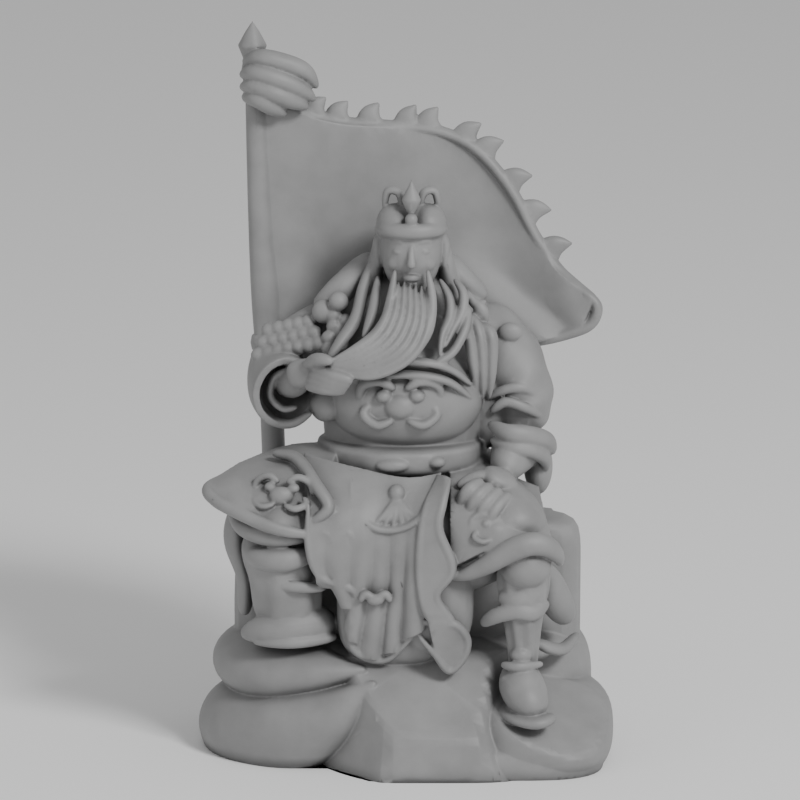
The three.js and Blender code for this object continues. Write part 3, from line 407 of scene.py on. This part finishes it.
def right_skirt():
    return [
        sheet(RIGHT_SKIRT, 5, waves=lambda u, v: 1.4 * v * np.sin(14 * u)),
        limb([(-67, -10, 119), (-79.5, -31, 117), (-77, -38, 113.5), (-69, -43, 110), (-57, -48, 105.5), (-48, -49, 103),
              (-38, -48, 101)], [(2.6, 2.8)], rings=64, front=(0, 0, 1)),
        *beast_mask((-50, -41, 115.5), 1.0, (-35, 0, -15)),
    ]


def left_leg():
    gathers = lambda angle, t: 0.06 * np.cos(8 * angle - 5 * t)
    level = dict(front=(0, 0, 1))
    parts = [
        limb([(18, 6, 108), (31, -16, 107), (43, -36, 102), (49, -45, 95)], [(17, 16), (17, 16), (15, 15), (11, 11)], **level),
        lump((48.5, -46, 88), (10.5, 10, 9.5)),
        limb([(48, -40, 94), (48, -41, 80), (48, -40, 64), (48, -38, 50), (48, -36, 38)],
             [(12, 11), (11, 10), (8, 8), (6.6, 7), (7, 7)], sides=48, rings=64, folds=gathers),
        limb([(31, -40, 62), (37, -46, 67), (45, -49, 69.5), (52, -48, 68.5), (58, -43, 72)], [(2.4, 3.4)], **level),
        limb([(38, -44, 74), (46, -49, 75), (56, -45, 78)], [(2.4, 4)], **level),
        limb([(47, -28, 35), (47, -40, 37), (50, -48, 33), (55, -54, 28.5)], [(8, 8), (9, 10), (9, 8), (7, 5.5)], **level),
        limb([(40, -34, 27), (45, -47, 25.5), (53, -53, 24.5), (61, -51, 26)], [(4, 3), (6, 3), (6, 3), (4, 3)], **level),
        lump((47, -44, 50), (4.4, 3.6, 3.4)),
    ]
    for rise in (0, 6):
        parts.append(limb([(39, -44, 40 + rise), (46, -48, 40 + rise), (56, -43, 40 + rise)], [(1.6, 2)], **level))
    return parts


def left_skirt():
    return [
        sheet(LEFT_SKIRT, 5),
        limb([(17, -46, 83), (25, -50, 85.5), (33, -53, 90), (41, -55, 95.5), (49, -55.5, 99), (56, -53, 98), (61, -48, 93),
              (63, -42, 87)], [(2.6, 2.6), (3.6, 3.6), (4.6, 4.6), (4.8, 4.8), (4.2, 4.2), (2.4, 2.4)], front=(0, 0, 1), rings=64),
        *beast_mask((37, -49, 103), 0.85, (-30, 0, 5)),
        limb([(55, -30, 84), (60, -28, 72), (67, -22, 58)], [(6, 7), (7, 6), (6, 4)]),
        limb([(53, -34, 53), (59, -31, 49.5), (65, -26, 48), (71, -18, 52)], [(2.6, 3.6)]),
    ]


def robe_front():
    pleats = lambda u, v: 1.6 * v * v * np.sin(34 * u + 2 * v)
    parts = [
        sheet([ROBE_TOP, ROBE_LAP, ROBE_FALL, ROBE_HEM], 5, across=140, down=90, waves=pleats),
        sheet([BORDER_OUTER, BORDER_INNER], 3.6, across=120, down=16),
        lump((-4, -26, 66), (24, 15, 24), power=3),
        lump((12, -30, 72), (16, 16, 24), power=3),
        lump((4, -24, 92), (40, 19, 20), power=3),
        limb(BORDER_INNER[:6], [(2, 2.4)], rings=64),
        limb(BORDER_OUTER[:6], [(1.8, 2.4)], rings=64),
        limb([(8, -47, 65), (13, -47, 63), (20, -48, 64), (25, -44, 57), (24, -42, 49), (18, -42, 43), (12, -45, 51),
              (5, -45, 59)], [(1.8, 2.2)], rings=96),
        limb([(-39, -47, 114), (-39, -48, 96), (-34, -45, 83), (-20, -44, 76), (-23, -40, 62), (-20, -38, 50),
              (-8, -38, 46.5), (4, -45, 59)], [(1.8, 2.4)], rings=96),
        limb([(-54, -17, 128), (-44, -25, 127.5), (-36, -40, 120), (-31, -46, 112), (-38, -47, 106)], [(2.6, 3)], rings=48),
        limb([(-22, -33, 122), (-21, -42, 112), (-13, -46, 104), (-3, -46, 103), (6, -47, 108), (12, -42, 118)],
             [(1.6, 2.2)], rings=64),
        lump((-3.5, -39, 116), (3.4, 3.4, 4)),
    ]
    for i in range(TASSEL_CORDS):
        share = i / (TASSEL_CORDS - 1)
        parts.append(limb([(-3.5, -39, 115), (mix(-7, 1, share), -43.5, 110),
                           (mix(-12, 6, share), -45.5, 105 - 4 * share * (1 - share))], [(1.4, 1.6)]))
    for x, z, size in ((-28, 99, 1), (-12, 74, 0.8)):
        y = -47
        parts.append(lump((x, y, z), (4.5 * size, 2.4, 3 * size)))
        for side in (-1, 1):
            parts.append(limb([(x, y, z), (x + side * 5 * size, y, z + 3 * size), (x + side * 8 * size, y, z - size)], [(1.6, 2)]))
    return parts


def right_arm():
    parts = [
        tube([(-51, 4, 166), (-52, 2, 159), (-51, -6, 154), (-48.5, -15, 152.5)], [(9, 9), (11, 12), (12, 13.5), (12.5, 14)],
             3, front=(0, 0, 1)),
        limb([(-24, 9, 179), (-36, 7, 173), (-48, 5, 167.5), (-61, 2, 165.5)], [(12, 13), (13, 12), (11, 10.5), (5, 4)],
             front=(0, 0, 1)),
        limb([(-50, 0, 156), (-46, -12, 157), (-41, -22, 162)], [(7, 7), (6.5, 7), (5, 6)], front=(0, 0, 1)),
        limb([(-44, -17, 166.5), (-55, -11, 164), (-61, -5, 156), (-60, -4, 146), (-54, -9, 140), (-46, -15, 140),
              (-38, -18, 145)], [(2.2, 3)], rings=64),
        limb([(-46, -17, 163), (-53, -13, 159), (-55, -12, 151), (-50, -14, 146), (-44, -17, 147)], [(1.6, 2.2)], rings=64),
        lump((-32, -12, 147), (7, 8, 7)),
    ]
    for row in range(SCALE_ROWS):
        for i in range(7 - row):
            x, y, z = mix_point((-60, -4, 166), (-33, -12, 170), (i + row * 0.5) / 6.5)
            parts.append(lump((x, y + row * 2.2, z + row * 4.6 + i * 0.5), (SCALE_RADIUS, 3.4, SCALE_RADIUS), sides=16, rings=12))
    for i in range(7):
        parts.append(lump((-31 + 5 * (i % 2) + (2 if i > 3 else 0), -15 + i * 0.6, 171 + i * 2.2), (3.2, 3, 3), sides=16, rings=12))
    return parts


def hand(palm, palm_radii, palm_turn, knuckles, tips, bow, thumb):
    parts = [lump(palm, palm_radii, power=2.6, turn=palm_turn)]
    for i in range(4):
        share = i / 3
        start = mix_point(knuckles[0], knuckles[1], share)
        end = mix_point(tips[0], tips[1], share)
        middle = tuple(p + b for p, b in zip(mix_point(start, end, 0.5), bow))
        girth = FINGER_RADIUS * (1 - 0.12 * abs(share - 0.4))
        parts.append(limb([start, middle, end], [(girth, girth)], blunt=4))
    parts.append(limb(thumb, [(2.8, 2.8), (2.8, 2.8), (2.2, 2.2)]))
    return parts


def right_hand():
    return hand((-41, -26, 163), (7, 5, 6), (0, -10, -25), [(-37, -32, 167), (-40, -30, 159)],
                [(-21, -41, 163), (-24, -38, 158.5)], (0, -3, 0), [(-40, -29, 167), (-35, -37, 171), (-29, -41, 171)])


def left_hand():
    return hand((38, -31, 119), (8, 7, 5), (20, 25, 20), [(31, -38, 121), (42, -40, 116)],
                [(22, -42, 113), (33, -46, 103.5)], (-1, -4, 2), [(36, -30, 122), (28, -35, 121.5), (21, -39, 119)])


def left_arm():
    folds = lambda angle, t: 0.035 * np.sin(3 * angle + 26 * t)
    level = dict(front=(0, 0, 1))
    return [
        limb([(26, 9, 181), (37, 8, 172), (45, 6, 158), (47.5, 4, 144), (47.5, 0, 132)],
             [(12, 14), (13, 14), (13.5, 15), (14, 15), (12, 13)], sides=48, rings=64, folds=folds),
        limb([(49, 4, 130), (45, -8, 127), (42, -18, 124), (40, -26, 120)], [(12, 12), (10, 10), (7.5, 8), (6, 6)], **level),
        limb([(34, -12, 139), (42, -20, 137), (51, -18, 135.5), (58, -10, 131.5), (61, 0, 125)],
             [(2.4, 3.4), (3, 4), (3.4, 4), (3.4, 4), (3, 4)], **level),
        limb([(35, -14, 133), (43, -20, 131), (51, -18, 129.5), (57, -10, 124.5), (58, -2, 117.5)],
             [(2.4, 3), (3, 3.4), (3, 3.4), (3, 3.4), (2.4, 3)], **level),
        limb([(33, -8, 149), (41, -10, 153), (48, -9.5, 153.5), (53, -6, 150.5), (57, 0, 144.5)], [(1.8, 2.2)], **level),
        limb([(35, -10, 143.5), (41, -11.5, 148), (49, -11, 145.5), (56, -4, 140.5)], [(1.8, 2.2)], **level),
        lump((43, -5, 176), (5, 3, 4)),
        lump((55, 4, 118), (6, 10, 12)),
        lump((34, 2, 144), (9, 10, 18)),
        limb([(36, -20, 124), (42, -24, 118), (47, -20, 114)], [(1.6, 2)]),
    ]


def head():
    x, y, z = HEAD
    level = dict(front=(0, 0, 1))
    parts = [
        lump(HEAD, HEAD_RADII, power=2.2, sides=48, rings=40),
        lump((x, y - 4, z - 11), (9, 9.5, 8.5)),
        limb([(x, y + 12, z - 30), (x, y + 8, z - 18), (x, y + 4, z - 8)], [(12, 12), (10, 10), (9, 9)]),
        limb([(x, y - 13, z + 4), (x, y - 15.4, z - 2.5), (x, y - 16.6, z - 6.5)], [(1.3, 1.4), (1.5, 1.8), (2.2, 2)]),
        limb([(x - 3.6, y - 13, z - 11), (x, y - 14.6, z - 10.6), (x + 3.6, y - 13, z - 11)], [(1, 1.4)], **level),
    ]
    for side in (-1, 1):
        parts.append(lump((x + side * 5, y - 12.2, z), (2.6, 1.8, 1.3)))
        parts.append(limb([(x + side * 1.8, y - 13.6, z + 3.4), (x + side * 5.4, y - 13.2, z + 4.6),
                           (x + side * 9, y - 10.2, z + 3.6)], [(0.9, 1.2)], **level))
        parts.append(lump((x + side * 6.2, y - 8.6, z - 5.4), (3.8, 4, 4)))
        parts.append(limb([(x + side * 12.2, y + 3, z + 5), (x + side * 13.6, y + 3, z), (x + side * 13, y + 1, z - 9)],
                          [(1.8, 3.4), (2.2, 4), (1.8, 2.4)]))
    return parts


def cap():
    x, y, z = HEAD
    parts = [
        limb([(x - 14, y + 2, z + 7), (x - 10, y - 11, z + 8.5), (x, y - 15, z + 8.5), (x + 10, y - 11, z + 8.5),
              (x + 14, y + 2, z + 7)], [(2.2, 2.4), (2.8, 3), (3, 3.2), (2.8, 3), (2.2, 2.4)], front=(0, 0, 1)),
        lump((x, y + 4, z + 7), (14.5, 15, 11), sides=48),
        lump((x, y - 15, z + 13.5), (2.6, 2.4, 2.6)),
        turned((x, y - 12, z + 15), [(0, 14.5), (1.2, 11.5), (2.6, 9), (4, 6), (1.4, 0), (0, -2)]),
    ]
    for side in (-1, 1):
        parts.append(lump((x + side * 6.6, y - 3, z + 10), (7.6, 11, 8)))
        parts.append(limb([(x + side * 3.5, y - 4, z + 16), (x + side * 5, y - 4, z + 22.5), (x + side * 9.5, y - 3, z + 23),
                           (x + side * 11, y - 2, z + 16)], [(1.7, 2.2)]))
        parts.append(limb([(x + side * 13, y + 6, z + 2), (x + side * 15, y + 6, z - 12), (x + side * 20, y + 4, z - 26)],
                          [(3, 5), (3.4, 6), (3, 4)]))
    return parts


def beard():
    parts = [
        limb([(2, -16, 198), (1, -26, 186), (-5, -32, 176), (-17, -35, 169), (-29, -37, 168)], [(6, 3), (7, 4), (7, 4), (5, 4), (2, 2)]),
        limb([(-4, -22, 205), (-6, -25, 193), (-9, -31, 184), (-16, -36, 178), (-29, -40, 171.5)],
             [(1.6, 1.8), (2, 2.4), (2, 2.4), (1.2, 1.6)]),
        limb([(9, -22, 205), (11, -25, 193), (9.5, -31, 182), (4, -36, 174), (-2, -39, 169)],
             [(1.6, 1.8), (2, 2.4), (2, 2.4), (1.2, 1.6)]),
    ]
    for i in range(BEARD_LOCKS):
        path = [mix_point(a, b, i / (BEARD_LOCKS - 1)) for a, b in zip(BEARD_UPPER, BEARD_LOWER)]
        parts.append(limb(path, [(1.2, 2.4), (1.7, 3.4), (1.9, 3.6), (1.6, 3), (0.9, 1.4)], rings=48))
    return parts


def hair():
    return [
        limb([(-13, -1, 206), (-17, -8, 195), (-20, -17, 184), (-26, -25, 176), (-31, -30, 170)], [(2, 3), (2.6, 4), (2.6, 4), (2, 3)]),
        limb([(-11, -9, 200), (-13, -20, 188), (-17, -28, 178)], [(1.6, 2.4), (2.2, 3), (1.4, 2)]),
        limb([(-13, 6, 206), (-20, 4, 198), (-28, 0, 191), (-37, -1, 186)], [(5, 6), (6, 7), (6, 7), (4, 5)]),
        limb([(15, 6, 207), (23, 5, 197), (33, 6, 188)], [(4, 6), (5, 7), (4, 5)]),
        limb([(14, -10, 199), (18, -15, 192), (18, -20, 185), (15, -25, 179), (14, -30, 171)], [(1.6, 2.6), (2.2, 3), (1.4, 2)]),
        limb([(20, -10, 199), (23.5, -14, 194), (23, -18, 187), (19, -23, 180), (16, -28, 174)], [(1.6, 2.6), (2.2, 3), (1.2, 2)]),
        limb([(25, -10, 194), (28.5, -12, 189), (33, -11, 190)], [(1.4, 1.6), (2, 2), (1.2, 1.4)]),
        limb([(28, -12, 191), (31, -13, 186), (33, -13, 181)], [(1.4, 1.6), (3, 2), (1.4, 1.4)]),
        lump((-33, -8, 185), (5, 5, 5)),
        lump((-27, -12, 190), (4, 4, 4)),
    ]


def cast():
    """All forms in one skin: joined, remeshed, softened as a cast is and cut flat below."""
    forms = [
        *rock(), *seat(), *standard(), *banner(), *torso(), *collar(), *beast_mask((-2, -29, 150), 1.35), *right_leg(),
        *right_skirt(), *left_leg(), *left_skirt(), *robe_front(), *right_arm(), *right_hand(), *left_arm(), *left_hand(),
        *head(), *cap(), *beard(), *hair(),
    ]
    whole = join(forms, "figurine_cast")
    finish_with(whole, "REMESH", mode="VOXEL", voxel_size=VOXEL, adaptivity=0)
    finish_with(whole, "SMOOTH", factor=0.5, iterations=SOFTENING)
    co = vertices_of(whole)
    co[:, 2] = np.maximum(co[:, 2], 0)
    set_vertices(whole, co)
    return whole


def trim_below(obj):
    """Leaves the underside flat on the floor."""
    bpy.ops.object.select_all(action="DESELECT")
    obj.select_set(True)
    bpy.context.view_layer.objects.active = obj
    bpy.ops.object.mode_set(mode="EDIT")
    bpy.ops.mesh.select_all(action="SELECT")
    bpy.ops.mesh.bisect(plane_co=(0, 0, 0), plane_no=(0, 0, 1), clear_inner=True, use_fill=True)
    bpy.ops.object.mode_set(mode="OBJECT")


def thin_out(obj):
    obj.data.calc_loop_triangles()
    share = MOST_TRIANGLES / len(obj.data.loop_triangles)
    if share < 1:
        finish_with(obj, "DECIMATE", decimate_type="COLLAPSE", ratio=share, use_collapse_triangulate=True)


def to_metres(obj):
    bpy.ops.object.select_all(action="DESELECT")
    obj.select_set(True)
    bpy.context.view_layer.objects.active = obj
    obj.scale = (MM, MM, MM)
    bpy.ops.object.transform_apply(location=True, rotation=True, scale=True)


def hex_colour(text):
    """An sRGB hex colour as linear red, green, blue and alpha."""
    parts = [int(text[i:i + 2], 16) / 255 for i in (0, 2, 4)]
    return tuple(c / 12.92 if c <= 0.04045 else ((c + 0.055) / 1.055) ** 2.4 for c in parts) + (1.0,)


def node(tree, kind, settings=None, links=None):
    """Adds one shader node, sets its values and links its inputs."""
    made = tree.nodes.new(kind)
    for name, value in (settings or {}).items():
        if name in made.inputs:
            made.inputs[name].default_value = value
        else:
            setattr(made, name, value)
    for name, source in (links or {}).items():
        tree.links.new(source, made.inputs[name])
    return made


def cast_resin():
    """Unpainted cast polyester resin, satin from the mould: an even mid grey, with painted shade darkening it in the
    hollows of the carving."""
    material = bpy.data.materials.new("cast_resin_satin_grey")
    material.use_nodes = True
    tree = material.node_tree
    tree.nodes.clear()
    place = node(tree, "ShaderNodeTexCoord")
    mottle = node(tree, "ShaderNodeTexNoise", {"Scale": 60.0, "Detail": 4.0}, {"Vector": place.outputs["Object"]})
    grey = node(tree, "ShaderNodeValToRGB", links={"Fac": mottle.outputs["Fac"]})
    grey.color_ramp.elements[0].position = 0.3
    grey.color_ramp.elements[0].color = hex_colour("7d7d7d")
    grey.color_ramp.elements[1].position = 0.7
    grey.color_ramp.elements[1].color = hex_colour("8b8b8b")
    # Painted shade: the ambient occlusion node darkens the grey in the hollows and creases of the carving, where shade
    # falls.
    painted_shade_ao = node(tree, "ShaderNodeAmbientOcclusion", {"Distance": 0.006, "samples": 8})
    shade = node(tree, "ShaderNodeMapRange", {"From Min": 0.35, "From Max": 0.95, "To Min": 0.45, "To Max": 1.0},
                 {"Value": painted_shade_ao.outputs["AO"]})
    grey_with_painted_shade = node(tree, "ShaderNodeMix", {"data_type": "RGBA", "blend_type": "MULTIPLY"})
    grey_with_painted_shade.inputs["Factor"].default_value = 1.0
    tree.links.new(grey.outputs["Color"], grey_with_painted_shade.inputs[6])
    tree.links.new(shade.outputs["Result"], grey_with_painted_shade.inputs[7])
    grain = node(tree, "ShaderNodeTexNoise", {"Scale": 900.0, "Detail": 2.0}, {"Vector": place.outputs["Object"]})
    bump = node(tree, "ShaderNodeBump", {"Strength": 0.12, "Distance": 0.0002}, {"Height": grain.outputs["Fac"]})
    rough = node(tree, "ShaderNodeMapRange", {"From Min": 0.3, "From Max": 0.7, "To Min": 0.5, "To Max": 0.6},
                 {"Value": mottle.outputs["Fac"]})
    shader = node(tree, "ShaderNodeBsdfPrincipled", {"IOR": 1.5}, {
        "Base Color": grey_with_painted_shade.outputs[2], "Roughness": rough.outputs["Result"], "Normal": bump.outputs["Normal"]})
    node(tree, "ShaderNodeOutputMaterial", links={"Surface": shader.outputs["BSDF"]})
    return material


def plain_floor():
    bpy.ops.mesh.primitive_plane_add(size=8, location=(0, 0, 0))
    floor = bpy.context.object
    floor.name = "floor"
    material = bpy.data.materials.new("pale_studio_floor")
    material.use_nodes = True
    shader = material.node_tree.nodes["Principled BSDF"]
    shader.inputs["Base Color"].default_value = hex_colour("f4f4f4")
    shader.inputs["Roughness"].default_value = 0.9
    floor.data.materials.append(material)
    return floor


def photo_camera():
    data = bpy.data.cameras.new("photo_camera")
    camera = bpy.data.objects.new("photo_camera", data)
    bpy.context.scene.collection.objects.link(camera)
    tilt = math.radians(CAMERA_ELEVATION)
    aim = Vector(AIM) * MM
    camera.location = aim + CAMERA_DISTANCE * Vector((0, -math.cos(tilt), math.sin(tilt)))
    camera.rotation_euler = (math.radians(90) - tilt, 0, 0)
    data.sensor_width = 36
    data.lens = 36 * CAMERA_DISTANCE / (FRAME_PIXELS * MM_PER_PIXEL * MM)
    data.clip_end = 20
    bpy.context.scene.camera = camera


def area_light(name, place, size, power):
    data = bpy.data.lights.new(name, "AREA")
    data.size = size
    data.energy = power
    light = bpy.data.objects.new(name, data)
    bpy.context.scene.collection.objects.link(light)
    light.location = place
    light.rotation_euler = (Vector((0, 0, 0.15)) - Vector(place)).to_track_quat("-Z", "Y").to_euler()


def studio_light():
    """A soft key from the upper right front, as in the photograph, and a weak fill from the left."""
    area_light("key", (1.1, -1.5, 1.5), 0.5, 42)
    area_light("fill", (-1.6, -1.4, 0.8), 1.2, 4)
    world = bpy.data.worlds.new("studio")
    bpy.context.scene.world = world
    world.use_nodes = True
    world.node_tree.nodes["Background"].inputs["Color"].default_value = hex_colour("ffffff")
    world.node_tree.nodes["Background"].inputs["Strength"].default_value = 0.5


def main():
    photo_camera()
    studio_light()
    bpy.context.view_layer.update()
    floor = plain_floor()
    figure = cast()
    trim_below(figure)
    thin_out(figure)
    to_metres(figure)
    figure.data.materials.clear()
    figure.data.materials.append(cast_resin())
    bpy.ops.object.shade_smooth()
    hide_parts(NODE)
    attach(figure, "root")


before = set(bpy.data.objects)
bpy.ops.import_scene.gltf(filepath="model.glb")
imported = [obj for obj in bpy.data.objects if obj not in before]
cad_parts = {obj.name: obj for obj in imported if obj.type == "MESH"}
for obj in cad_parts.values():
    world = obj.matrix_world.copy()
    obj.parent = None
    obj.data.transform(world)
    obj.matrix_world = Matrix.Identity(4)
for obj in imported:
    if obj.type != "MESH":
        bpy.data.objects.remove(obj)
main()
